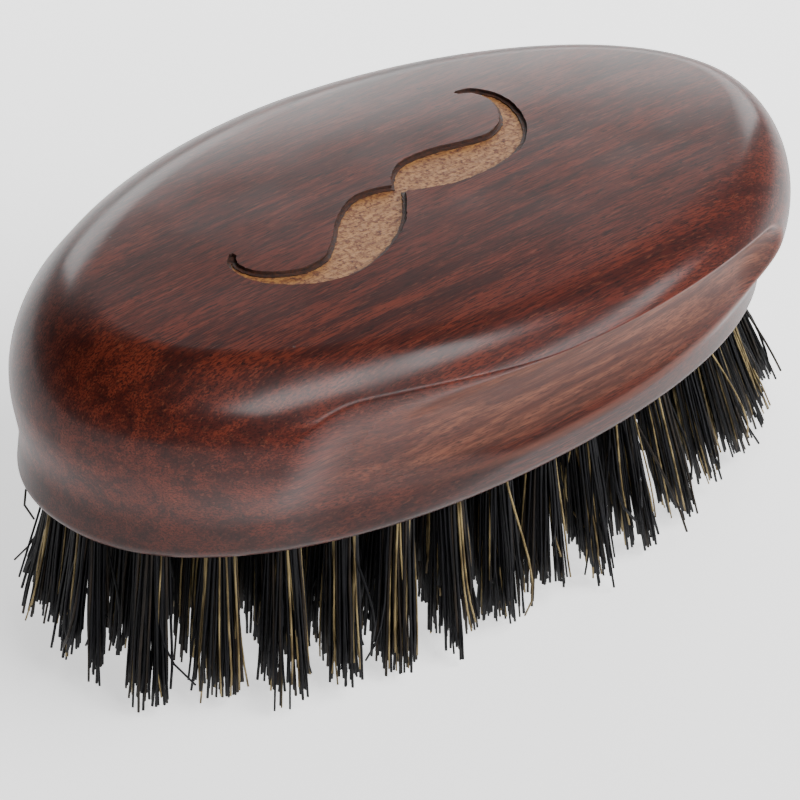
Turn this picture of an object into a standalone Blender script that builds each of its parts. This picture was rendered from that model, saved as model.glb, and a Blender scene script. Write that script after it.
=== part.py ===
"""Oval palm-held beard brush: a solid wooden block with a finger cove along each long side, and
rings of boar-bristle tufts set in blind holes under it.

Frame: metres, +X along the block, +Y across it, +Z up from the bristle tips to the palm side.
The origin is on the plane of the trimmed tips, under the middle of the block.
"""

import math

import bmesh
import bpy
import numpy as np
from mathutils import Matrix

# ---- driving dimensions, metres and degrees -------------------------------------------------
BLOCK_LENGTH = 0.100
BLOCK_WIDTH = 0.054
BLOCK_HEIGHT = 0.0205
OUTLINE_POWER = 1.9  # exponent of the oval outline at its widest, 2 being a true ellipse
BASE_OUTLINE_POWER = 2.2
SHOULDER_REACH = 0.008  # the soft top edge, a quarter of an ellipse: how far in it reaches
SHOULDER_DROP = 0.0095  # and how far below the top it starts
SHOULDER_STEPS = 10
WALL_STEPS = 6
LIP_HEIGHT = 0.0036  # the upright lip along the bottom, under the flare of the wall
END_DRAFT = 0.0019  # how far the lip stands in from the widest line at the ends of the block
SIDE_DRAFT = 0.0052  # and along its sides
BOTTOM_ROUND = 0.0014
BOTTOM_ROUND_STEPS = 3
OUTLINE_SIDES = 144

BRISTLE_SHOWING = 0.0195
BLOCK_BOTTOM = BRISTLE_SHOWING

COVE_FLOOR = 0.0201  # half the width of wood left between the two coves
COVE_RADIUS = 0.0095  # of the round-nosed cutter that makes the cove
COVE_HEIGHT = 0.0090  # of the cove's centre line above the block's bottom
COVE_FLOOR_CURVE = 0.200  # radius of the cove's floor along the block
COVE_TRAVEL = 0.030  # how far the cutter goes each way from the middle of the block
COVE_PATH_STEPS = 24
COVE_NOSE_STEPS = 7
COVE_SIDES = 64

FIELD_MARGIN = 0.0043  # from the block's bottom edge to the centres of the outermost holes
RING_STEP = 0.0058
TUFT_PITCH = 0.0064
HOLE_RADIUS = 0.0018
HOLE_DEPTH = 0.009
HOLE_SIDES = 16
OUTER_LEAN = 8.0
SECOND_LEAN = 4.0

TUFT_GAP = 0.0003
TUFT_STEM_RADIUS = 0.00145
TUFT_TIP_RADIUS = 0.0029
TUFT_SIDES = 8
MAT_THICKNESS = 0.004  # depth over which the splayed tips of the centre tufts press together
MAT_TUFT_RADIUS = 0.0022  # of a centre tuft where it enters that mat
MAT_SIDES = 28

CUTTER_OVERRUN = 0.002
SHARP_WOOD = 16  # edges steeper than this many degrees stay crisp
SHARP_TUFT = 50
HAIRLINE = 1e-6

FIELD_HALF_LENGTH = BLOCK_LENGTH / 2 - END_DRAFT - FIELD_MARGIN
FIELD_HALF_WIDTH = BLOCK_WIDTH / 2 - SIDE_DRAFT - FIELD_MARGIN


# ---- scene and materials --------------------------------------------------------------------
def clear_scene():
    for obj in list(bpy.data.objects):
        bpy.data.objects.remove(obj, do_unlink=True)


def new_collection(name):
    collection = bpy.data.collections.new(name)
    bpy.context.scene.collection.children.link(collection)
    return collection


def make_material(name, colour, roughness, metallic=0.0):
    material = bpy.data.materials.new(name)
    material.use_nodes = True
    surface = material.node_tree.nodes["Principled BSDF"]
    surface.inputs["Base Color"].default_value = (*colour, 1.0)
    surface.inputs["Roughness"].default_value = roughness
    surface.inputs["Metallic"].default_value = metallic
    material.diffuse_color = (*colour, 1.0)
    return material


def object_from_bmesh(name, shape, collection, material=None):
    mesh = bpy.data.meshes.new(name)
    bmesh.ops.recalc_face_normals(shape, faces=shape.faces)
    shape.to_mesh(mesh)
    shape.free()
    return object_from_mesh(name, mesh, collection, material)


def object_from_mesh(name, mesh, collection, material=None):
    obj = bpy.data.objects.new(name, mesh)
    collection.objects.link(obj)
    if material and not mesh.materials:
        mesh.materials.append(material)
    return obj


def mark_as_cutter(obj):
    obj.hide_render = True
    obj.display_type = "WIRE"
    return obj


def add_boolean(obj, operation, other):
    boolean = obj.modifiers.new(f"{operation.lower()} {other.name}", "BOOLEAN")
    boolean.operation = operation
    boolean.solver = "EXACT"
    boolean.object = other


# ---- tuft layout ----------------------------------------------------------------------------
def points_round_ellipse(half_length, half_width, count):
    """Evenly spaced points round an ellipse, each as (x, y, direction of the outward normal)."""
    angle = np.linspace(0.0, 2 * math.pi, 2001)
    x = half_length * np.cos(angle)
    y = half_width * np.sin(angle)
    walked = np.concatenate([[0.0], np.cumsum(np.hypot(np.diff(x), np.diff(y)))])
    stops = np.interp(np.arange(count) / count * walked[-1], walked, angle)
    normals = np.arctan2(np.sin(stops) * half_length, np.cos(stops) * half_width)
    return [
        (half_length * math.cos(a), half_width * math.sin(a), float(n))
        for a, n in zip(stops, normals)
    ]


def ellipse_perimeter(half_length, half_width):
    """Ramanujan's approximation."""
    mixed = (3 * half_length + half_width) * (half_length + 3 * half_width)
    return math.pi * (3 * (half_length + half_width) - math.sqrt(mixed))


def ring_of_tufts(step):
    """The tufts of the ring that lies `step` ring spacings inside the outermost one."""
    half_length = FIELD_HALF_LENGTH - step * RING_STEP
    half_width = FIELD_HALF_WIDTH - step * RING_STEP
    count = 2 * round(ellipse_perimeter(half_length, half_width) / TUFT_PITCH / 2)
    return points_round_ellipse(half_length, half_width, count)


def centre_row_of_tufts():
    half_length = FIELD_HALF_LENGTH - 3 * RING_STEP - TUFT_PITCH / 2
    count = 1 + 2 * int(half_length / TUFT_PITCH)
    return [((i - count // 2) * TUFT_PITCH, 0.0, 0.0) for i in range(count)]


# ---- shapes ---------------------------------------------------------------------------------
def rounded_inset(reach, share):
    """How far a quarter-ellipse round has come in, at this share of its height."""
    return reach * (1 - math.sqrt(max(0.0, 1 - share**2)))


def block_section(height):
    """Half length, half width and outline power of the block at a height above its bottom."""
    widest = BLOCK_HEIGHT - SHOULDER_DROP
    flare = min(1.0, max(0.0, (widest - height) / (widest - LIP_HEIGHT)))
    drawn_in = flare * flare * (3 - 2 * flare)
    inset = rounded_inset(SHOULDER_REACH, max(0.0, height - widest) / SHOULDER_DROP)
    inset += rounded_inset(BOTTOM_ROUND, max(0.0, BOTTOM_ROUND - height) / BOTTOM_ROUND)
    return (
        BLOCK_LENGTH / 2 - END_DRAFT * drawn_in - inset,
        BLOCK_WIDTH / 2 - SIDE_DRAFT * drawn_in - inset,
        OUTLINE_POWER + (BASE_OUTLINE_POWER - OUTLINE_POWER) * drawn_in,
    )


def block_levels():
    """The heights above the block's bottom at which its outline is drawn."""
    widest = BLOCK_HEIGHT - SHOULDER_DROP
    bottom = BOTTOM_ROUND * (1 - np.cos(np.linspace(0, math.pi / 2, BOTTOM_ROUND_STEPS + 1)))
    wall = np.linspace(LIP_HEIGHT, widest, WALL_STEPS + 1)
    shoulder = widest + SHOULDER_DROP * np.sin(np.linspace(0, math.pi / 2, SHOULDER_STEPS + 1))
    return [float(level) for level in (*bottom, *wall, *shoulder[1:])]


def squared_oval(x, y, half_length, half_width, power):
    """Moves a point of the unit circle on to the oval outline with that power."""
    power = 2 / power
    return half_length * math.copysign(abs(x) ** power, x), half_width * math.copysign(abs(y) ** power, y)


def loft(shape, rings):
    """Closes a body through rings of vertices that all have the same count."""
    for first, second in zip(rings, rings[1:]):
        for i in range(len(first)):
            j = (i + 1) % len(first)
            shape.faces.new((first[i], first[j], second[j], second[i]))
    shape.faces.new(rings[0])
    shape.faces.new(rings[-1])


def leaned_post(shape, at, radius_low, radius_high, z_low, z_high, lean, sides):
    """Adds a tapered post to `shape`. Its axis passes through `at` on the block's bottom plane and
    leans outwards below it, while its two ends stay level."""
    x, y, outward = at
    made = bmesh.ops.create_cone(
        shape, cap_ends=True, segments=sides, radius1=radius_low, radius2=radius_high, depth=z_high - z_low
    )
    slope = -math.tan(math.radians(lean))
    shear = Matrix.Identity(4)
    shear[0][2] = slope * math.cos(outward)
    shear[1][2] = slope * math.sin(outward)
    to_mouth = Matrix.Translation((0.0, 0.0, (z_low + z_high) / 2 - BLOCK_BOTTOM))
    place = Matrix.Translation((x, y, BLOCK_BOTTOM)) @ shear @ to_mouth
    bmesh.ops.transform(shape, matrix=place, verts=made["verts"])


def cove_path():
    """Centre, heading and radius of each section of the cove cutter: along an arc, with a round nose at
    each end. The heading is the angle the cutter has turned from straight along the block."""
    arc = COVE_FLOOR_CURVE + COVE_RADIUS
    end = math.asin(COVE_TRAVEL / arc)
    noses = [(k + 0.5) / COVE_NOSE_STEPS * math.pi / 2 for k in range(COVE_NOSE_STEPS)]
    stations = [(-end, -COVE_RADIUS * math.cos(a), COVE_RADIUS * math.sin(a)) for a in noses]
    stations += [(float(turn), 0.0, COVE_RADIUS) for turn in np.linspace(-end, end, COVE_PATH_STEPS + 1)]
    stations += [(end, COVE_RADIUS * math.cos(a), COVE_RADIUS * math.sin(a)) for a in reversed(noses)]
    for turn, ahead, radius in stations:
        x = arc * math.sin(turn) + ahead * math.cos(turn)
        y = arc * math.cos(turn) - ahead * math.sin(turn) + COVE_FLOOR - COVE_FLOOR_CURVE
        yield x, y, turn, radius


def make_cove_cutter(side, cutters):
    """The space a round-nosed cutter sweeps along one long side (side is +1 or -1)."""
    shape = bmesh.new()
    rings = []
    for x, y, turn, radius in cove_path():
        ring = bmesh.ops.create_circle(shape, radius=radius, segments=COVE_SIDES)["verts"]
        for vert in ring:
            out, up = vert.co.x, vert.co.y
            across = y + out * math.cos(turn)
            vert.co = (x + out * math.sin(turn), side * across, BLOCK_BOTTOM + COVE_HEIGHT + up)
        rings.append(ring)
    loft(shape, rings)
    name = "cove_cutter_front" if side < 0 else "cove_cutter_back"
    return mark_as_cutter(object_from_bmesh(name, shape, cutters))


def make_hole_cutter(tufts, cutters):
    """All the blind holes, as one set of leaned posts."""
    shape = bmesh.new()
    for at, lean in tufts:
        z_low, z_high = BLOCK_BOTTOM - CUTTER_OVERRUN, BLOCK_BOTTOM + HOLE_DEPTH
        leaned_post(shape, at, HOLE_RADIUS, HOLE_RADIUS, z_low, z_high, lean, HOLE_SIDES)
    return mark_as_cutter(object_from_bmesh("hole_cutter", shape, cutters))


def make_block(parts, cutters, tufts, material):
    """A loft of oval outlines, from the bottom edge over the soft shoulder to the flat top."""
    shape = bmesh.new()
    outlines = []
    for level in block_levels():
        section = block_section(level)
        outline = bmesh.ops.create_circle(shape, radius=1.0, segments=OUTLINE_SIDES)["verts"]
        for vert in outline:
            vert.co = (*squared_oval(vert.co.x, vert.co.y, *section), BLOCK_BOTTOM + level)
        outlines.append(outline)
    loft(shape, outlines)
    block = object_from_bmesh("block", shape, parts, material)

    for side in (-1, 1):
        add_boolean(block, "DIFFERENCE", make_cove_cutter(side, cutters))
    add_boolean(block, "DIFFERENCE", make_hole_cutter(tufts, cutters))
    block.data.shade_smooth()
    block.data.set_sharp_from_angle(angle=math.radians(SHARP_WOOD))


def tuft_posts(shape, at, radius_low, z_low, lean):
    """Adds a tuft: a straight stem in its hole, and a splayed part from the block down to z_low."""
    z_stem_top = BLOCK_BOTTOM + HOLE_DEPTH - TUFT_GAP
    leaned_post(shape, at, TUFT_STEM_RADIUS, TUFT_STEM_RADIUS, BLOCK_BOTTOM, z_stem_top, lean, TUFT_SIDES)
    leaned_post(shape, at, radius_low, TUFT_STEM_RADIUS, z_low, BLOCK_BOTTOM, lean, TUFT_SIDES)
    shared_caps = [face for face in shape.faces if all(abs(v.co.z - BLOCK_BOTTOM) < HAIRLINE for v in face.verts)]
    bmesh.ops.delete(shape, geom=shared_caps, context="FACES")
    bmesh.ops.remove_doubles(shape, verts=shape.verts, dist=HAIRLINE)


def make_tuft(name, parts, at, lean, material):
    """One bundle of bristle, trimmed level at the tips."""
    shape = bmesh.new()
    tuft_posts(shape, at, TUFT_TIP_RADIUS, 0.0, lean)
    tuft = object_from_bmesh(name, shape, parts, material)
    tuft.data.shade_smooth()
    tuft.data.set_sharp_from_angle(angle=math.radians(SHARP_TUFT))


def make_centre_tufts(parts, cutters, tufts, material):
    """The inner tufts, whose splayed tips press together into one mat."""
    mat = bmesh.new()
    bmesh.ops.create_cone(mat, cap_ends=True, segments=MAT_SIDES, radius1=1.0, radius2=1.0, depth=MAT_THICKNESS)
    half_length = FIELD_HALF_LENGTH - 2 * RING_STEP + TUFT_TIP_RADIUS
    half_width = FIELD_HALF_WIDTH - 2 * RING_STEP + TUFT_TIP_RADIUS
    place = Matrix.Translation((0, 0, MAT_THICKNESS / 2)) @ Matrix.Diagonal((half_length, half_width, 1, 1))
    bmesh.ops.transform(mat, matrix=place, verts=mat.verts)
    centre = object_from_bmesh("tufts_centre", mat, parts, material)

    stems = bmesh.new()
    for at, lean in tufts:
        tuft_posts(stems, at, MAT_TUFT_RADIUS, MAT_THICKNESS / 2, lean)
    add_boolean(centre, "UNION", mark_as_cutter(object_from_bmesh("centre_stems", stems, cutters)))
    centre.data.shade_smooth()
    centre.data.set_sharp_from_angle(angle=math.radians(SHARP_TUFT))


def main():
    clear_scene()
    parts = new_collection("beard_brush")
    cutters = new_collection("cutters")
    wood = make_material("stained_wood", (0.105, 0.026, 0.014), 0.28)
    bristle = make_material("boar_bristle", (0.030, 0.027, 0.026), 0.55)

    outer = [(at, OUTER_LEAN) for at in ring_of_tufts(0)]
    second = [(at, SECOND_LEAN) for at in ring_of_tufts(1)]
    centre = [(at, 0.0) for at in ring_of_tufts(2) + centre_row_of_tufts()]

    make_block(parts, cutters, outer + second + centre, wood)
    for ring_name, ring in (("outer", outer), ("second", second)):
        for number, (at, lean) in enumerate(ring, start=1):
            make_tuft(f"tuft_{ring_name}_{number:02d}", parts, at, lean, bristle)
    make_centre_tufts(parts, cutters, centre, bristle)


main()
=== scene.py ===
import math

import bmesh
import bpy
import numpy as np
from mathutils import Matrix, Vector


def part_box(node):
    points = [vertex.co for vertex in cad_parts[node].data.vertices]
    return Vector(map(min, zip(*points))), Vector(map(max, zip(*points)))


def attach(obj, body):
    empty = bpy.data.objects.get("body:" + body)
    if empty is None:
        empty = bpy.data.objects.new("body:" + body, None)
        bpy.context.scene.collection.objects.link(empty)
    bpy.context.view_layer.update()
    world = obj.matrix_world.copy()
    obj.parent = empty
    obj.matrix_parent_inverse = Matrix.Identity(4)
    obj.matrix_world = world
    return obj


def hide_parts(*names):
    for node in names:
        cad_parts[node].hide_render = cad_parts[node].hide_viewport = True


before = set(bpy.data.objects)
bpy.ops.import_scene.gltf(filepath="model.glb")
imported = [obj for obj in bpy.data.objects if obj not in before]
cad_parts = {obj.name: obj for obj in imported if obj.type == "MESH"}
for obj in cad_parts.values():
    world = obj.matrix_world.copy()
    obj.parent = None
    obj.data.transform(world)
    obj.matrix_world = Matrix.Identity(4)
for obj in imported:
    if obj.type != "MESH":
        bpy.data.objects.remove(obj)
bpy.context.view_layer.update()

MM = 0.001
BLOCK_LOW, BLOCK_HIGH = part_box("block")
BOTTOM, TOP = BLOCK_LOW.z, BLOCK_HIGH.z

# ---- the block's sections, in metres, as the CAD has them --------------------------------------
HEIGHT = TOP - BOTTOM
HALF_LENGTH = BLOCK_HIGH.x
HALF_WIDTH = 27.0 * MM  # at the widest line, which the coves cut away at mid-length
OUTLINE_POWER = 1.9
BASE_OUTLINE_POWER = 2.2
SHOULDER_REACH = 8.0 * MM
SHOULDER_DROP = 9.5 * MM
LIP_HEIGHT = 3.6 * MM
END_DRAFT = 1.9 * MM
SIDE_DRAFT = 5.2 * MM
BOTTOM_ROUND = 1.4 * MM
COVE_FLOOR = 20.1 * MM
COVE_RADIUS = 9.5 * MM
COVE_HEIGHT = 9.0 * MM
COVE_FLOOR_CURVE = 200.0 * MM
COVE_TRAVEL = 30.0 * MM
NO_CUT = 1.0  # stands for a cove floor that is outside the block
COVELESS_MIDDLE = 4.0 * MM
HOLE_RADIUS = 1.8 * MM
HOLE_DEPTH = 9.0 * MM

# the edge of the cove is broken by hand: softly at the -X end, crisply from mid-length on
SOFT_ARRIS = 5.5
CRISP_ARRIS = 0.5
ARRIS_START = -33.0  # in millimetres along X
ARRIS_CHANGE = 27.0
# the cove is paler than the rest, and fades into the wall at its soft end
TINT_DEPTH = 2.2 * MM
FADE_START = -42.0
FADE_LENGTH = 34.0
# painted highlight: how far from the cove's edges its lighter colour reaches
PAINTED_HIGHLIGHT_REACH = 0.45 * MM

# the wall is a grid; a row is added for every so much length and every so much turning
COLUMNS = 720
ROWS = 110
PROFILE_SAMPLES = 900
ROW_SPACING = 0.42 * MM
ROW_TURN = math.radians(3.5)
CAP_RINGS = 12
SHARP_WOOD = math.radians(42)

ENGRAVING_DEPTH = 0.35 * MM
ENGRAVING_TURN = math.radians(12)
ENGRAVING_SCALE = 1.35
ENGRAVING_CENTRE = (-3.5 * MM, 1.0 * MM)
ENGRAVING_REACH = (32.0 * MM, 12.0 * MM)  # nothing engraved lies further from the middle than this
ENGRAVING_LIMIT = 0.6 * MM  # nor deeper than this
ENGRAVING_ROUGHNESS = 0.035  # in millimetres
SPINE_HEIGHT = 0.8  # in millimetres, of the drawn moustache's middle
BARE_FLOOR_DROP = 0.12 * MM  # of the bare wood under the scorched border
CHAR_WIDTH = 0.42 * MM
CUTTER_OVERRUN = 2.0 * MM
BARE, CHARRED = 1, 2  # material numbers on the block
# how far the top falls away from its middle to its edge: evenly, and more quickly near the edge
CROWN = 0.30 * MM
CROWN_ROLL = 0.45 * MM
CROWN_HALF_LENGTH = 42.0 * MM
CROWN_HALF_WIDTH = 19.0 * MM


def eased(t):
    """0 to 1 with a soft start and a soft end."""
    return t * t * (3 - 2 * t)


# ---- mesh helpers -------------------------------------------------------------------------------
def new_object(name, vertices, faces, materials=(), indices=None):
    mesh = bpy.data.meshes.new(name)
    mesh.from_pydata(vertices, [], faces)
    for material in materials:
        mesh.materials.append(material)
    if indices is not None:
        mesh.polygons.foreach_set("material_index", np.asarray(indices, np.int32))
    mesh.polygons.foreach_set("use_smooth", [True] * len(mesh.polygons))
    mesh.update()
    obj = bpy.data.objects.new(name, mesh)
    bpy.context.scene.collection.objects.link(obj)
    return obj


def cut(obj, *cutters):
    """Takes the cutters out of obj and removes them."""
    for cutter in cutters:
        boolean = obj.modifiers.new(cutter.name, "BOOLEAN")
        boolean.operation = "DIFFERENCE"
        boolean.solver = "EXACT"
        boolean.object = cutter
    depsgraph = bpy.context.evaluated_depsgraph_get()
    mesh = bpy.data.meshes.new_from_object(obj.evaluated_get(depsgraph), depsgraph=depsgraph)
    obj.modifiers.clear()
    old, obj.data = obj.data, mesh
    bpy.data.meshes.remove(old)
    for cutter in cutters:
        bpy.data.objects.remove(cutter)


# ---- node helpers -------------------------------------------------------------------------------
class Nodes:
    """Short calls for building a node tree."""

    def __init__(self, material):
        self.tree = material.node_tree
        self.surface = self.tree.nodes["Principled BSDF"]

    def make(self, kind, **settings):
        node = self.tree.nodes.new("ShaderNode" + kind)
        for name, value in settings.items():
            setattr(node, name, value)
        return node

    def link(self, value, socket):
        if isinstance(value, bpy.types.NodeSocket):
            self.tree.links.new(value, socket)
        else:
            socket.default_value = value

    def position(self, scale):
        """Object coordinates in millimetres, times scale on each axis."""
        coordinates = self.make("TexCoord")
        mapping = self.make("Mapping")
        mapping.inputs["Scale"].default_value = [s / MM for s in scale]
        self.tree.links.new(coordinates.outputs["Object"], mapping.inputs["Vector"])
        return mapping.outputs["Vector"]

    def noise(self, vector, scale=1.0, detail=2.0, roughness=0.5, distortion=0.0):
        node = self.make("TexNoise")
        self.link(vector, node.inputs["Vector"])
        node.inputs["Scale"].default_value = scale
        node.inputs["Detail"].default_value = detail
        node.inputs["Roughness"].default_value = roughness
        node.inputs["Distortion"].default_value = distortion
        return node.outputs["Fac"]

    def ramp(self, value, low, high, to_low=0.0, to_high=1.0):
        node = self.make("MapRange", interpolation_type="SMOOTHSTEP")
        self.link(value, node.inputs["Value"])
        node.inputs["From Min"].default_value = low
        node.inputs["From Max"].default_value = high
        node.inputs["To Min"].default_value = to_low
        node.inputs["To Max"].default_value = to_high
        return node.outputs["Result"]

    def math(self, operation, a, b=0.0):
        node = self.make("Math", operation=operation)
        self.link(a, node.inputs[0])
        self.link(b, node.inputs[1])
        return node.outputs[0]

    def mix(self, share, a, b, blend="MIX"):
        node = self.make("Mix", data_type="RGBA", blend_type=blend)
        self.link(share, node.inputs[0])
        first, second, result = node.inputs[6], node.inputs[7], node.outputs[2]  # the colour sockets
        self.link((*a, 1.0) if isinstance(a, tuple) else a, first)
        self.link((*b, 1.0) if isinstance(b, tuple) else b, second)
        return result

    def attribute(self, name):
        return self.make("Attribute", attribute_name=name).outputs["Fac"]

    def height(self):
        """Height above the floor, in millimetres."""
        split = self.make("SeparateXYZ")
        self.link(self.position((1.0, 1.0, 1.0)), split.inputs["Vector"])
        return split.outputs["Z"]

    def grey(self, value):
        node = self.make("CombineColor")
        for name in ("Red", "Green", "Blue"):
            self.link(value, node.inputs[name])
        return node.outputs["Color"]

    def bump(self, height, strength, distance):
        node = self.make("Bump")
        node.inputs["Strength"].default_value = strength
        node.inputs["Distance"].default_value = distance
        self.link(height, node.inputs["Height"])
        return node.outputs["Normal"]

    def set(self, **values):
        for name, value in values.items():
            self.link(value, self.surface.inputs[name.replace("_", " ")])


def new_material(name):
    material = bpy.data.materials.new(name)
    material.use_nodes = True
    return material, Nodes(material)


# ---- materials ----------------------------------------------------------------------------------
def stained_wood():
    """Beech under a dark red-brown stain and a clear lacquer, its grain along X."""
    material, n = new_material("stained_beech")
    drift = n.noise(n.position((0.030, 0.05, 0.05)), detail=1.0)
    streaks = n.noise(n.position((0.030, 0.55, 0.55)), detail=5.0, roughness=0.66, distortion=0.5)
    fibres = n.noise(n.position((0.30, 6.0, 6.0)), detail=3.0, roughness=0.62)
    flecks = n.ramp(n.noise(n.position((0.60, 6.5, 6.5)), detail=2.0, roughness=0.6), 0.570, 0.66)
    rays = n.ramp(n.noise(n.position((0.45, 3.4, 2.0)), detail=3.0, roughness=0.7), 0.53, 0.70)
    blotches = n.ramp(n.noise(n.position((0.055, 0.11, 0.11)), detail=3.0), 0.30, 0.70)
    worn = n.attribute("cove")

    colour = n.mix(n.ramp(streaks, 0.38, 0.62), (0.033, 0.0044, 0.0025), (0.112, 0.0180, 0.0082))
    colour = n.mix(n.math("MULTIPLY", blotches, 0.40), colour, (0.064, 0.0080, 0.0052))
    colour = n.mix(n.math("MULTIPLY", rays, 0.50), colour, (0.155, 0.0410, 0.0195))
    colour = n.mix(n.ramp(fibres, 0.44, 0.60, 0.0, 0.72), colour, (0.017, 0.0035, 0.0024))
    colour = n.mix(n.math("MULTIPLY", flecks, 0.88), colour, (0.010, 0.0025, 0.0020))
    light_streaks = n.ramp(n.noise(n.position((0.06, 1.1, 1.1)), detail=4.0, roughness=0.65), 0.38, 0.66)
    cove_colour = n.mix(light_streaks, (0.060, 0.0150, 0.0085), (0.175, 0.0600, 0.0320))
    cove_colour = n.mix(n.ramp(fibres, 0.42, 0.64, 0.0, 0.65), cove_colour, (0.040, 0.0095, 0.0055))
    cove_colour = n.mix(n.math("MULTIPLY", flecks, 0.70), cove_colour, (0.030, 0.0070, 0.0045))
    colour = n.mix(n.math("MULTIPLY", worn, 0.90), colour, cove_colour)
    # painted highlight: a lighter colour along the cove's edges, read from the edge attribute
    colour = n.mix(n.math("MULTIPLY", n.attribute("edge"), 0.45), colour, (0.210, 0.0660, 0.0370))
    # painted shade: the wood is darkened towards the bottom edge
    painted_shade_low = n.ramp(n.height(), (BOTTOM + 0.5 * MM) / MM, (BOTTOM + 9.0 * MM) / MM, 0.55, 1.0)
    # painted shade multiplied into the wood colour, strongest at the bottom edge
    colour = n.mix(1.0, colour, n.grey(painted_shade_low), "MULTIPLY")

    waves = n.noise(n.position((0.5, 0.9, 0.9)), detail=2.0)
    skin = n.math("ADD", n.math("MULTIPLY", waves, 0.6), n.math("MULTIPLY", fibres, 0.35))
    smudges = n.ramp(n.noise(n.position((0.10, 0.16, 0.16)), detail=4.0), 0.30, 0.75, -0.03, 0.05)
    rough = n.math("ADD", n.math("ADD", smudges, 0.20), n.math("MULTIPLY", worn, 0.16))
    n.set(
        Base_Color=colour,
        Roughness=n.ramp(drift, 0.3, 0.7, 0.48, 0.58),
        Normal=n.bump(fibres, 0.35, 0.05 * MM),
        Coat_Weight=n.math("SUBTRACT", 0.34, n.math("MULTIPLY", worn, 0.16)),
        Coat_Roughness=rough,
        Coat_Normal=n.bump(skin, 0.22, 0.035 * MM),
        Coat_IOR=1.5,
    )
    n.surface.inputs["Specular IOR Level"].default_value = 0.10
    return material


def engraved_wood():
    """Bare wood at the bottom of the engraving, scorched in specks."""
    material, n = new_material("engraved_beech")
    specks = n.noise(n.position((2.2, 2.6, 2.6)), detail=4.0, roughness=0.7)
    fibres = n.noise(n.position((0.5, 5.0, 5.0)), detail=3.0)
    colour = n.mix(n.ramp(fibres, 0.3, 0.7), (0.190, 0.0760, 0.0200), (0.350, 0.1620, 0.0460))
    colour = n.mix(n.ramp(specks, 0.46, 0.60), colour, (0.130, 0.0400, 0.0150))
    colour = n.mix(n.ramp(specks, 0.60, 0.68), colour, (0.045, 0.0130, 0.0070))
    n.set(
        Base_Color=colour,
        Roughness=n.ramp(specks, 0.3, 0.7, 0.5, 0.75),
        Normal=n.bump(specks, 0.6, 0.12 * MM),
    )
    return material


def charred_wood():
    """The scorched border of the engraving."""
    material, n = new_material("charred_beech")
    specks = n.noise(n.position((3.0, 3.0, 3.0)), detail=4.0, roughness=0.7)
    colour = n.mix(n.ramp(specks, 0.35, 0.72), (0.010, 0.0040, 0.0030), (0.085, 0.0260, 0.0120))
    n.set(
        Base_Color=colour,
        Roughness=n.ramp(specks, 0.3, 0.7, 0.55, 0.8),
        Normal=n.bump(specks, 0.6, 0.08 * MM),
    )
    return material


def bristle(name, dark, light, roughness):
    """Boar bristle: its tone drifts along each hair, and it shines along the scales of its skin."""
    material, n = new_material(name)
    drift = n.noise(n.position((1.1, 1.1, 0.22)), detail=3.0)
    scales = n.noise(n.position((7.0, 7.0, 2.2)), detail=2.0)
    colour = n.mix(n.ramp(drift, 0.35, 0.65), dark, light)
    colour = n.mix(n.ramp(scales, 0.5, 0.8, 0.0, 0.35), colour, dark)
    n.set(
        Base_Color=colour,
        Roughness=n.ramp(scales, 0.3, 0.7, roughness, roughness + 0.15),
        Normal=n.bump(scales, 0.3, 0.02 * MM),
    )
    n.surface.inputs["Specular IOR Level"].default_value = 0.12
    return material


def anchor_steel():
    material, n = new_material("anchor_steel")
    rolled = n.noise(n.position((6.0, 6.0, 0.6)), detail=3.0)
    colour = n.mix(rolled, (0.42, 0.42, 0.41), (0.62, 0.61, 0.59))
    n.set(
        Base_Color=colour,
        Metallic=1.0,
        Roughness=n.ramp(rolled, 0.3, 0.7, 0.28, 0.42),
        Normal=n.bump(rolled, 0.2, 0.02 * MM),
    )
    return material


# ---- the block ----------------------------------------------------------------------------------
def sections(height):
    """Half length, half width and outline power at each height above the block's bottom."""
    widest = HEIGHT - SHOULDER_DROP
    flare = np.clip((widest - height) / (widest - LIP_HEIGHT), 0, 1)
    drawn_in = eased(flare)
    up = np.clip((height - widest) / SHOULDER_DROP, 0, 1)
    down = np.clip((BOTTOM_ROUND - height) / BOTTOM_ROUND, 0, 1)
    inset = SHOULDER_REACH * (1 - np.sqrt(1 - up**2)) + BOTTOM_ROUND * (1 - np.sqrt(1 - down**2))
    return (
        HALF_LENGTH - END_DRAFT * drawn_in - inset,
        HALF_WIDTH - SIDE_DRAFT * drawn_in - inset,
        OUTLINE_POWER + (BASE_OUTLINE_POWER - OUTLINE_POWER) * drawn_in,
    )


def signed_power(value, power):
    return np.sign(value) * np.abs(value) ** power


def arris_softness(x):
    """How widely the edge of the cove is broken at this place along the block."""
    t = eased(np.clip((x / MM - ARRIS_START) / ARRIS_CHANGE, 0, 1))
    return (SOFT_ARRIS + (CRISP_ARRIS - SOFT_ARRIS) * t) * MM


def carved(x, y, height):
    """y after the coves are cut, how deep each point was cut, and how far it is from the cove's edge."""
    side = np.sign(y)
    rise = COVE_RADIUS**2 - (height - COVE_HEIGHT) ** 2
    path = COVE_FLOOR_CURVE + COVE_RADIUS
    middle = COVE_FLOOR - COVE_FLOOR_CURVE
    inner = path - np.sqrt(np.maximum(rise, 0))
    channel = middle + np.sqrt(np.maximum(inner**2 - x**2, 0))
    channel = np.where((rise > 0) & (np.abs(x) < COVE_TRAVEL * inner / path), channel, NO_CUT)
    bulge = rise - (np.abs(x) - COVE_TRAVEL) ** 2
    nose = middle + math.sqrt(path**2 - COVE_TRAVEL**2) - np.sqrt(np.maximum(bulge, 0))
    floor = np.minimum(channel, np.where(bulge > 0, nose, NO_CUT))
    wall = np.abs(y)
    soft = arris_softness(x)
    blend = np.maximum(soft - np.abs(wall - floor), 0) ** 2 / (4 * soft)
    kept = np.minimum(wall, floor) - blend
    kept = np.where(wall > COVELESS_MIDDLE, kept, wall)
    return side * kept, wall - kept, np.abs(wall - floor)


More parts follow.
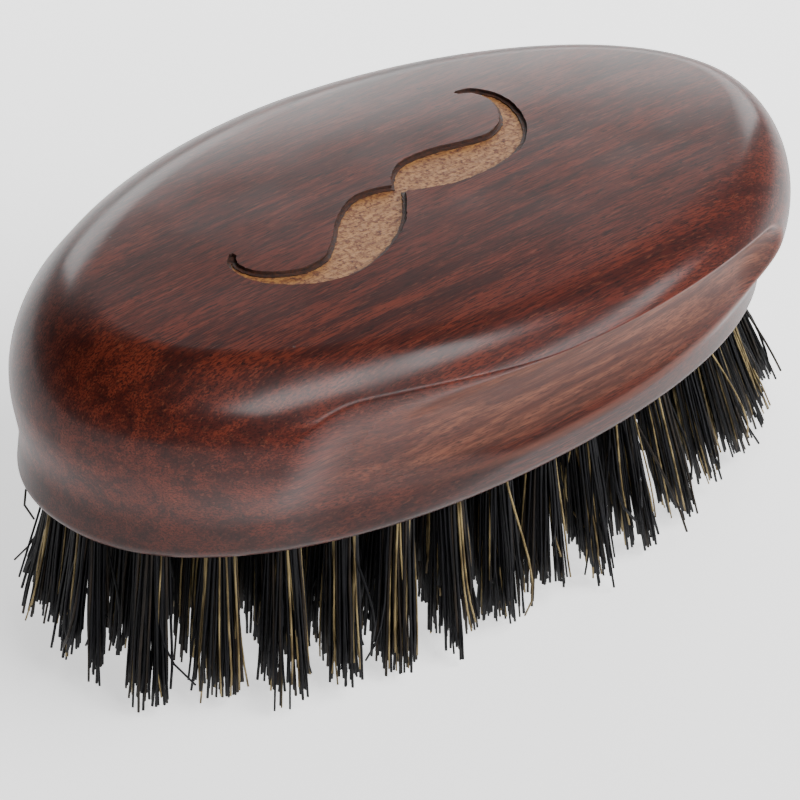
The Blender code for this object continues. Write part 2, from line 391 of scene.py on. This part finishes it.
def block_profile_heights():
    """Sample heights up the wall, close together where the wall turns."""
    widest = HEIGHT - SHOULDER_DROP
    quarter = np.linspace(0, math.pi / 2, PROFILE_SAMPLES // 3)
    wall = np.linspace(BOTTOM_ROUND, widest, PROFILE_SAMPLES)
    edge = BOTTOM_ROUND * (1 - np.cos(quarter))
    shoulder = widest + SHOULDER_DROP * np.sin(quarter)
    return np.concatenate([edge, wall[1:], shoulder[1:]])


def block_surface():
    """Grid of wall points, ROWS by COLUMNS, with more rows where the wall turns; and over the same
    grid, how deep the cove was cut and how far its edge is."""
    fine = block_profile_heights()
    half_length, half_width, power = (a[:, None] for a in sections(fine))
    turn = np.arange(COLUMNS) / COLUMNS * 2 * math.pi
    x = half_length * signed_power(np.cos(turn), 2 / power)
    y = half_width * signed_power(np.sin(turn), 2 / power)
    y, depth, near = carved(x, y, fine[:, None])
    z = np.broadcast_to(fine[:, None], x.shape)
    points = np.stack([x, y, z], axis=2)
    steps = np.diff(points, axis=0)
    lengths = np.linalg.norm(steps, axis=2)
    tangents = steps / np.maximum(lengths, 1e-12)[..., None]
    bends = np.arccos(np.clip((tangents[1:] * tangents[:-1]).sum(2), -1, 1))
    bends = np.concatenate([bends[:1], bends])
    cost = lengths / ROW_SPACING + bends / ROW_TURN
    walked = np.concatenate([np.zeros((1, COLUMNS)), np.cumsum(cost, axis=0)])
    grid = np.empty((ROWS, COLUMNS, 3))
    cove = np.empty((ROWS, COLUMNS))
    edge = np.empty((ROWS, COLUMNS))
    for c in range(COLUMNS):
        stops = np.linspace(0, walked[-1, c], ROWS)
        for axis in range(3):
            grid[:, c, axis] = np.interp(stops, walked[:, c], points[:, c, axis])
        cove[:, c] = np.interp(stops, walked[:, c], depth[:, c])
        edge[:, c] = np.interp(stops, walked[:, c], near[:, c])
    grid[..., 2] += BOTTOM
    return grid, cove, edge


def moustache_outline(shrink):
    """A handlebar moustache in the XY plane, in metres, drawn in by shrink all round."""
    # centre line of one half, with the half thickness there, in millimetres
    spine = ENGRAVING_SCALE * np.array([
        (0.00, 0.70, 0.60), (1.2, 0.70, 1.35), (3.2, 0.50, 2.15), (5.8, -0.25, 2.35), (8.6, -1.15, 2.00),
        (11.4, -1.55, 1.50), (14.0, -0.95, 1.10), (16.0, 0.55, 0.85), (17.1, 2.35, 0.62), (16.9, 4.05, 0.42),
        (15.8, 4.85, 0.24),
    ])
    knots = np.arange(len(spine))
    at = np.linspace(0, len(spine) - 1, 90)
    dense = np.empty((len(at), 3))
    for axis in range(3):
        slope = np.gradient(spine[:, axis])
        i = np.minimum(at.astype(int), len(spine) - 2)
        t = at - i
        a, b, m, k = spine[i, axis], spine[i + 1, axis], slope[i], slope[i + 1]
        at_ends = (2 * t**3 - 3 * t**2 + 1) * a + (3 * t**2 - 2 * t**3) * b
        dense[:, axis] = at_ends + (t**3 - 2 * t**2 + t) * m + (t**3 - t**2) * k
    line, half = dense[:, :2], np.maximum(dense[:, 2] - shrink / MM, 0.02)
    keep = dense[:, 2] - shrink / MM > 0.03
    keep[0] = True
    line, half = line[keep], half[keep]
    ahead = np.gradient(line, axis=0)
    ahead /= np.linalg.norm(ahead, axis=1)[:, None]
    across = np.stack([-ahead[:, 1], ahead[:, 0]], axis=1)
    across[0] = (0, 1)
    rng = np.random.default_rng(11)
    rough = rng.normal(0, ENGRAVING_ROUGHNESS, (2, len(line)))
    upper = line + across * (half + rough[0])[:, None]
    lower = line - across * (half + rough[1])[:, None]
    for edge in (upper, lower):
        edge[:8, 0] = np.maximum(edge[:8, 0], line[:8, 0] * 0.5)
        edge[0, 0] = 0.0
    point = line[-1] + ahead[-1] * half[-1]
    mirror = (-1, 1)
    outline = np.concatenate([
        lower, [point], upper[::-1], upper[1:] * mirror, [point * mirror], lower[1:][::-1] * mirror
    ])
    x, y = outline[:, 0], outline[:, 1] - SPINE_HEIGHT
    c, s = math.cos(ENGRAVING_TURN), math.sin(ENGRAVING_TURN)
    turned = np.stack([x * c - y * s, x * s + y * c], axis=1)
    return turned * MM + ENGRAVING_CENTRE


def crown(x, y):
    """How far the top has fallen at this place; past its edge the fall levels out."""
    out = (x / CROWN_HALF_LENGTH) ** 2 + (y / CROWN_HALF_WIDTH) ** 2
    if out < 1:
        return CROWN * out + CROWN_ROLL * out**2
    slope = CROWN + 2 * CROWN_ROLL
    return CROWN + CROWN_ROLL + slope / 2 * (1 - math.exp(2 * (1 - out)))


def prism(name, outline, z_low, z_high):
    n = len(outline)
    vertices = [(x, y, z) for z in (z_low, z_high) for x, y in outline]
    faces = [list(range(n))[::-1], list(range(n, 2 * n))]
    faces += [(i, (i + 1) % n, n + (i + 1) % n, n + i) for i in range(n)]
    return new_object(name, vertices, faces)


def hole_cutter(tufts, sides=20):
    """One slanted post for each tuft's hole."""
    vertices, faces = [], []
    turn = np.arange(sides) / sides * 2 * math.pi
    circle = np.stack([np.cos(turn), np.sin(turn), np.zeros(sides)], axis=1) * HOLE_RADIUS
    for mouth, axis in tufts:
        start = len(vertices)
        for z in (-CUTTER_OVERRUN, HOLE_DEPTH):
            vertices += (mouth + axis * z + circle).tolist()
        low, high = range(start, start + sides), range(start + sides, start + 2 * sides)
        faces.append(list(low)[::-1])
        faces.append(list(high))
        faces += [(low[i], low[(i + 1) % sides], high[(i + 1) % sides], high[i]) for i in range(sides)]
    return new_object("hole_cutter", vertices, faces)


def make_block(tufts):
    grid, cove, edge = block_surface()
    shares = np.linspace(1, 0.02, CAP_RINGS + 1)[1:]
    cap = grid[-1][None] * np.stack([shares, shares, np.ones(CAP_RINGS)], axis=1)[:, None]
    grid = np.concatenate([grid, cap])
    blank = np.zeros((CAP_RINGS, COLUMNS))
    cove, edge = np.concatenate([cove, blank]), np.concatenate([edge, blank + 1])
    vertices = grid.reshape(-1, 3)
    index = np.arange(len(vertices)).reshape(-1, COLUMNS)
    low, high = index[:-1], index[1:]
    quads = np.stack([low, np.roll(low, -1, axis=1), np.roll(high, -1, axis=1), high], axis=2).reshape(-1, 4)
    faces = quads.tolist() + [index[0][::-1].tolist(), index[-1].tolist()]
    materials = stained_wood(), engraved_wood(), charred_wood()
    block = new_object("wooden_block", vertices.tolist(), faces, materials)
    fade = np.clip((grid[..., 0] / MM - FADE_START) / FADE_LENGTH, 0, 1)
    tint = np.clip(cove / TINT_DEPTH, 0, 1) * eased(fade)
    # painted highlight along the cove's edges, fading out towards the soft end
    painted_arris_highlight = np.clip(1 - edge / PAINTED_HIGHLIGHT_REACH, 0, 1) * fade**3
    for name, values in (("cove", tint), ("edge", painted_arris_highlight)):
        layer = block.data.attributes.new(name, "FLOAT", "POINT")
        layer.data.foreach_set("value", values.reshape(-1).astype(np.float32))
    floor, high = TOP - ENGRAVING_DEPTH, TOP + CUTTER_OVERRUN
    cut(
        block,
        prism("engraving", moustache_outline(0.0), floor, high),
        prism("engraving_floor", moustache_outline(CHAR_WIDTH), floor - BARE_FLOOR_DROP, high),
        hole_cutter(tufts),
    )
    mesh = block.data
    for face in mesh.polygons:
        x, y, z = face.center
        inside = abs(x) < ENGRAVING_REACH[0] and abs(y) < ENGRAVING_REACH[1]
        if inside and 0.001 * MM < TOP - z < ENGRAVING_LIMIT:
            bare = z < floor - BARE_FLOOR_DROP / 2 and face.normal.z > 0.9
            face.material_index = BARE if bare else CHARRED
    for vertex in mesh.vertices:
        share = min(1.0, max(0.0, (vertex.co.z - BOTTOM) / HEIGHT - 0.5) * 2)
        vertex.co.z -= share * crown(vertex.co.x, vertex.co.y)
    mesh.polygons.foreach_set("use_smooth", [True] * len(mesh.polygons))
    mesh.set_sharp_from_angle(angle=SHARP_WOOD)
    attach(block, "root")
    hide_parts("block")


# ---- bristles -----------------------------------------------------------------------------------
STRANDS_PER_TUFT = 95
STRAND_SIDES = 5
STRAND_STOPS = 8
BUNDLE_RADIUS = 1.55 * MM
# the hairs have taken a set towards +X: where along the block, and how far at the tips, in mm
SET_PLACES = (-44.0, -20.0, 0.0, 25.0, 43.0)
SET_AMOUNTS = (3.0, 1.9, 2.3, 6.2, 9.2)
SPLAY = 1.80
GOLDEN_TURN = math.pi * (3 - math.sqrt(5))
COLOUR_SHARES = (0.71, 0.17, 0.12)  # black, brown, blond
BLOND = 2
BLOND_THINNESS = 0.76
CLUMPS_PER_TUFT = 4
LOOSE_SHARE = 0.06
STRAND_RADII = (0.118 * MM, 0.168 * MM)
HELD_DEPTH = 7.2 * MM  # how far up the hole a hair reaches
ANCHOR_DEPTH = 7.6 * MM
ANCHOR_SIZE = (2.6 * MM, 0.4 * MM, 2.0 * MM)
LEVEL = 0.05 * MM  # how near an end ring's points lie to its plane


def node_points(name):
    return np.array([v.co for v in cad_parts[name].data.vertices], float)


def single_tuft(name):
    """Mouth of the tuft's hole and the direction of its axis, per metre of height."""
    points = node_points(name)
    top = points[points[:, 2] > points[:, 2].max() - LEVEL].mean(0)
    tip = points[points[:, 2] < points[:, 2].min() + LEVEL].mean(0)
    axis = (top - tip) / (top[2] - tip[2])
    return tip + axis * (BOTTOM - tip[2]), axis


def centre_tufts():
    """Mouths and axes of the inner tufts, from the tops of their stems; they all stand upright."""
    points = node_points("tufts_centre")
    tops = points[points[:, 2] > points[:, 2].max() - LEVEL]
    found = []
    while len(tops):
        near = np.linalg.norm(tops - tops[0], axis=1) < 2 * BUNDLE_RADIUS
        centre = tops[near].mean(0)
        found.append((np.array((centre[0], centre[1], BOTTOM)), np.array((0.0, 0.0, 1.0))))
        tops = tops[~near]
    return sorted(found, key=lambda tuft: (round(tuft[0][0], 4), tuft[0][1]))


def strands(mouth, axis, rng):
    """Centre lines of a tuft's hairs, their radii along them, and each one's material."""
    n = STRANDS_PER_TUFT
    i = np.arange(n)
    r = np.sqrt((i + 0.5) / n)
    a = i * GOLDEN_TURN + rng.uniform(0, 2 * math.pi)
    disc = np.stack([r * np.cos(a), r * np.sin(a)], axis=1) + rng.normal(0, 0.03, (n, 2))
    kind = rng.choice(3, n, p=COLOUR_SHARES)
    base = disc * BUNDLE_RADIUS
    clumps = rng.normal(0, 0.60, (CLUMPS_PER_TUFT, 2))
    nearest = ((disc[:, None] - clumps[None]) ** 2).sum(2).argmin(1)
    spread = disc * rng.normal(SPLAY, 0.22, (n, 1))
    spread = spread * 0.66 + clumps[nearest] * SPLAY * 0.34 + rng.normal(0, 0.16, (n, 2))
    drop = mouth[2]
    lean = -axis[:2] * drop * rng.normal(1.0, 0.08)
    taken_set = np.interp(mouth[0] / MM, SET_PLACES, SET_AMOUNTS) * MM * rng.normal(1.0, 0.09)
    tip = spread * BUNDLE_RADIUS + lean + (taken_set, 0) + rng.normal(0, 0.35 * MM, 2)
    short = rng.gamma(2.0, 1.0, n) * MM * rng.uniform(0.75, 1.2)
    short = np.minimum(short + rng.exponential(0.9, CLUMPS_PER_TUFT)[nearest] * MM, 7.0 * MM)
    short = short + rng.uniform(0.05, 0.5) * MM
    loose = rng.random(n) < LOOSE_SHARE
    short = np.where(loose, short + rng.uniform(0.5, 3.0, n) * MM, short)
    tip = tip + loose[:, None] * np.clip(rng.normal(0, 2.2, (n, 2)), -3.5, 3.5) * MM
    bow = rng.normal(0, 0.16, (n, 2)) * MM
    bow[kind == BLOND] *= 1.9
    bow[loose] += rng.normal(0, 1.2, (int(loose.sum()), 2)) * MM
    ripple = rng.normal(0, 0.05, (n, 2)) * MM
    phase = rng.uniform(0, 2 * math.pi, n)

    u = np.linspace(0, 1, STRAND_STOPS)[None, :, None]
    reach = 1 - short / drop
    lateral = base[:, None] + (tip - base)[:, None] * (reach[:, None, None] * u) ** 1.04
    lateral = lateral + bow[:, None] * 4 * u * (1 - u) * u
    lateral = lateral + ripple[:, None] * np.sin(u * 9 + phase[:, None, None]) * u
    z = -(drop - short)[:, None] * u[..., 0]
    outside = np.concatenate([lateral, z[..., None]], axis=2) + mouth
    held = base * 0.9
    inside = np.concatenate([held, np.zeros((n, 1))], axis=1) + mouth + axis * HELD_DEPTH
    lines = np.concatenate([inside[:, None], outside], axis=1)
    thick = rng.uniform(*STRAND_RADII, n)
    thick[kind == BLOND] *= BLOND_THINNESS
    taper = np.concatenate([[0.9], np.linspace(1.0, 0.90, STRAND_STOPS)])
    return lines, thick[:, None] * taper, kind


def strand_mesh(name, groups, materials):
    """One piece made of closed tubes, one for each hair."""
    vertices, faces, indices = [], [], []
    start = 0
    turn = np.arange(STRAND_SIDES) / STRAND_SIDES * 2 * math.pi
    for lines, radii, kinds in groups:
        n, stops, _ = lines.shape
        ahead = np.gradient(lines, axis=1)
        ahead /= np.linalg.norm(ahead, axis=2)[..., None]
        side = np.cross(ahead, (0.0, 1.0, 0.0))
        side /= np.linalg.norm(side, axis=2)[..., None]
        up = np.cross(side, ahead)
        ring = side[:, :, None] * np.cos(turn)[:, None] + up[:, :, None] * np.sin(turn)[:, None]
        points = lines[:, :, None] + ring * radii[..., None, None]
        vertices.append(points.reshape(-1, 3))
        index = start + np.arange(n * stops * STRAND_SIDES).reshape(n, stops, STRAND_SIDES)
        low, high = index[:, :-1], index[:, 1:]
        quads = np.stack([low, np.roll(low, -1, 2), np.roll(high, -1, 2), high], axis=3)
        faces += quads.reshape(-1, 4).tolist()
        indices += np.repeat(kinds, (stops - 1) * STRAND_SIDES).tolist()
        faces += index[:, 0, ::-1].tolist() + index[:, -1].tolist()
        indices += kinds.tolist() * 2
        start += n * stops * STRAND_SIDES
    return new_object(name, np.concatenate(vertices).tolist(), faces, materials, indices)


def make_bristles():
    materials = (
        bristle("bristle_black", (0.0010, 0.0010, 0.0016), (0.0040, 0.0038, 0.0056), 0.42),
        bristle("bristle_brown", (0.0050, 0.0034, 0.0024), (0.0180, 0.0120, 0.0075), 0.40),
        bristle("bristle_blond", (0.0700, 0.0480, 0.0190), (0.2700, 0.2050, 0.0950), 0.36),
    )
    tufts = []
    for number, name in enumerate(sorted(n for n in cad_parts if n.startswith("tuft_"))):
        tuft = single_tuft(name)
        tufts.append(tuft)
        group = strands(*tuft, np.random.default_rng(100 + number))
        finish_bristles(strand_mesh(name.replace("tuft_", "bristles_"), [group], materials), name)
    inner = centre_tufts()
    groups = [strands(*tuft, np.random.default_rng(500 + k)) for k, tuft in enumerate(inner)]
    finish_bristles(strand_mesh("bristles_centre", groups, materials), "tufts_centre")
    return tufts + inner


def finish_bristles(piece, node):
    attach(piece, "root")
    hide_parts(node)


def make_anchors(tufts):
    """A flat steel strip across the fold of each tuft, at the bottom of its hole."""
    shape = bmesh.new()
    for mouth, axis in tufts:
        made = bmesh.ops.create_cube(shape, size=1.0)["verts"]
        centre = Vector(mouth + axis * ANCHOR_DEPTH)
        for v in made:
            v.co = v.co * Vector(ANCHOR_SIZE) + centre
    bmesh.ops.bevel(shape, geom=list(shape.edges), offset=0.08 * MM, segments=2, affect="EDGES")
    mesh = bpy.data.meshes.new("staple_anchors")
    shape.to_mesh(mesh)
    shape.free()
    mesh.materials.append(anchor_steel())
    anchors = bpy.data.objects.new("staple_anchors", mesh)
    bpy.context.scene.collection.objects.link(anchors)
    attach(anchors, "root")


# ---- studio -------------------------------------------------------------------------------------
def make_floor():
    bpy.ops.mesh.primitive_grid_add(x_subdivisions=4, y_subdivisions=4, size=6.0, location=(0, 0, 0))
    floor = bpy.context.object
    floor.name = "floor"
    material, n = new_material("studio_floor")
    tone = n.noise(n.position((0.004, 0.004, 0.004)), detail=2.0)
    n.set(
        Base_Color=n.mix(tone, (0.86, 0.86, 0.86), (0.90, 0.90, 0.90)),
        Roughness=0.22,
        Emission_Color=(1, 1, 1, 1),
        Emission_Strength=1.1,
    )
    n.surface.inputs["Specular IOR Level"].default_value = 0.35
    floor.data.materials.append(material)


def direction(azimuth, elevation):
    """Unit vector; azimuth counts from +X towards +Y, in degrees."""
    a, e = math.radians(azimuth), math.radians(elevation)
    return Vector((math.cos(a) * math.cos(e), math.sin(a) * math.cos(e), math.sin(e)))


def area_light(name, place, along, size, radiance):
    """A rectangular light facing the brush: size is (along, across), radiance in W/m2/sr."""
    light = bpy.data.lights.new(name, "AREA")
    light.shape = "RECTANGLE"
    light.size, light.size_y = size
    light.energy = radiance * math.pi * size[0] * size[1]
    lamp = bpy.data.objects.new(name, light)
    bpy.context.scene.collection.objects.link(lamp)
    along = along.normalized()
    back = (place - along * place.dot(along)).normalized()
    lamp.location = place + Vector((0, 0, 0.03))
    lamp.rotation_mode = "QUATERNION"
    lamp.rotation_quaternion = Matrix((along, back.cross(along), back)).transposed().to_quaternion()
    lamp.visible_camera = False


def strip_box(name, start, end, distance, width, radiance):
    """A long light between two directions, each an azimuth and an elevation."""
    a, b = direction(*start) * distance, direction(*end) * distance
    area_light(name, (a + b) / 2, b - a, ((b - a).length, width), radiance)


def soft_box(name, azimuth, elevation, distance, size, radiance):
    """A level rectangular light: size is (across, up)."""
    towards = direction(azimuth, elevation)
    area_light(name, towards * distance, Vector((0, 0, 1)).cross(towards), size, radiance)


def make_lights():
    world = bpy.data.worlds.new("studio")
    world.use_nodes = True
    bpy.context.scene.world = world
    tree = world.node_tree
    where = tree.nodes.new("ShaderNodeTexCoord")
    split = tree.nodes.new("ShaderNodeSeparateXYZ")
    height = tree.nodes.new("ShaderNodeMapRange")
    height.interpolation_type = "SMOOTHSTEP"
    tree.links.new(where.outputs["Generated"], split.inputs["Vector"])
    tree.links.new(split.outputs["Z"], height.inputs["Value"])
    for name, number in (("From Min", 0.0), ("From Max", 0.35), ("To Min", 0.30), ("To Max", 0.06)):
        height.inputs[name].default_value = number
    background = tree.nodes["Background"]
    background.inputs["Color"].default_value = (1, 1, 1, 1)
    tree.links.new(height.outputs["Result"], background.inputs["Strength"])
    strip_box("long_box_above", (-118, 37), (-20, 55), 0.70, 0.13, 15.0)
    strip_box("long_box_front", (-99, 20), (-22, 28), 0.75, 0.11, 11.0)
    soft_box("back_card", 42, 15, 0.42, (0.48, 0.14), 6.6)


def make_camera():
    yaw, pitch, roll, distance, focal = 0.908, 0.532, 0.141, 0.411978, 4184.0
    aside, down = 18.621, -125.63
    target = Vector((0, 0, BOTTOM + 10 * MM))
    ahead = Vector((math.sin(yaw) * math.cos(pitch), math.cos(yaw) * math.cos(pitch), -math.sin(pitch)))
    right = Vector((math.cos(yaw), -math.sin(yaw), 0))
    up = right.cross(ahead)
    level = right * math.cos(roll) + up * math.sin(roll)
    upright = up * math.cos(roll) - right * math.sin(roll)
    data = bpy.data.cameras.new("camera")
    camera = bpy.data.objects.new("camera", data)
    bpy.context.scene.collection.objects.link(camera)
    data.sensor_width = 36.0
    data.lens = focal / 800 * 36.0
    data.clip_start, data.clip_end = 0.01, 20.0
    camera.location = target - ahead * distance
    aim = (ahead + level * (-aside / focal) + upright * (down / focal)).normalized()
    side = aim.cross(upright).normalized()
    top = side.cross(aim)
    turn = Matrix((side, top, -aim)).transposed()
    camera.rotation_mode = "QUATERNION"
    camera.rotation_quaternion = turn.to_quaternion()
    bpy.context.scene.camera = camera


tufts = make_bristles()
make_anchors(tufts)
make_block(tufts)
make_floor()
make_lights()
make_camera()
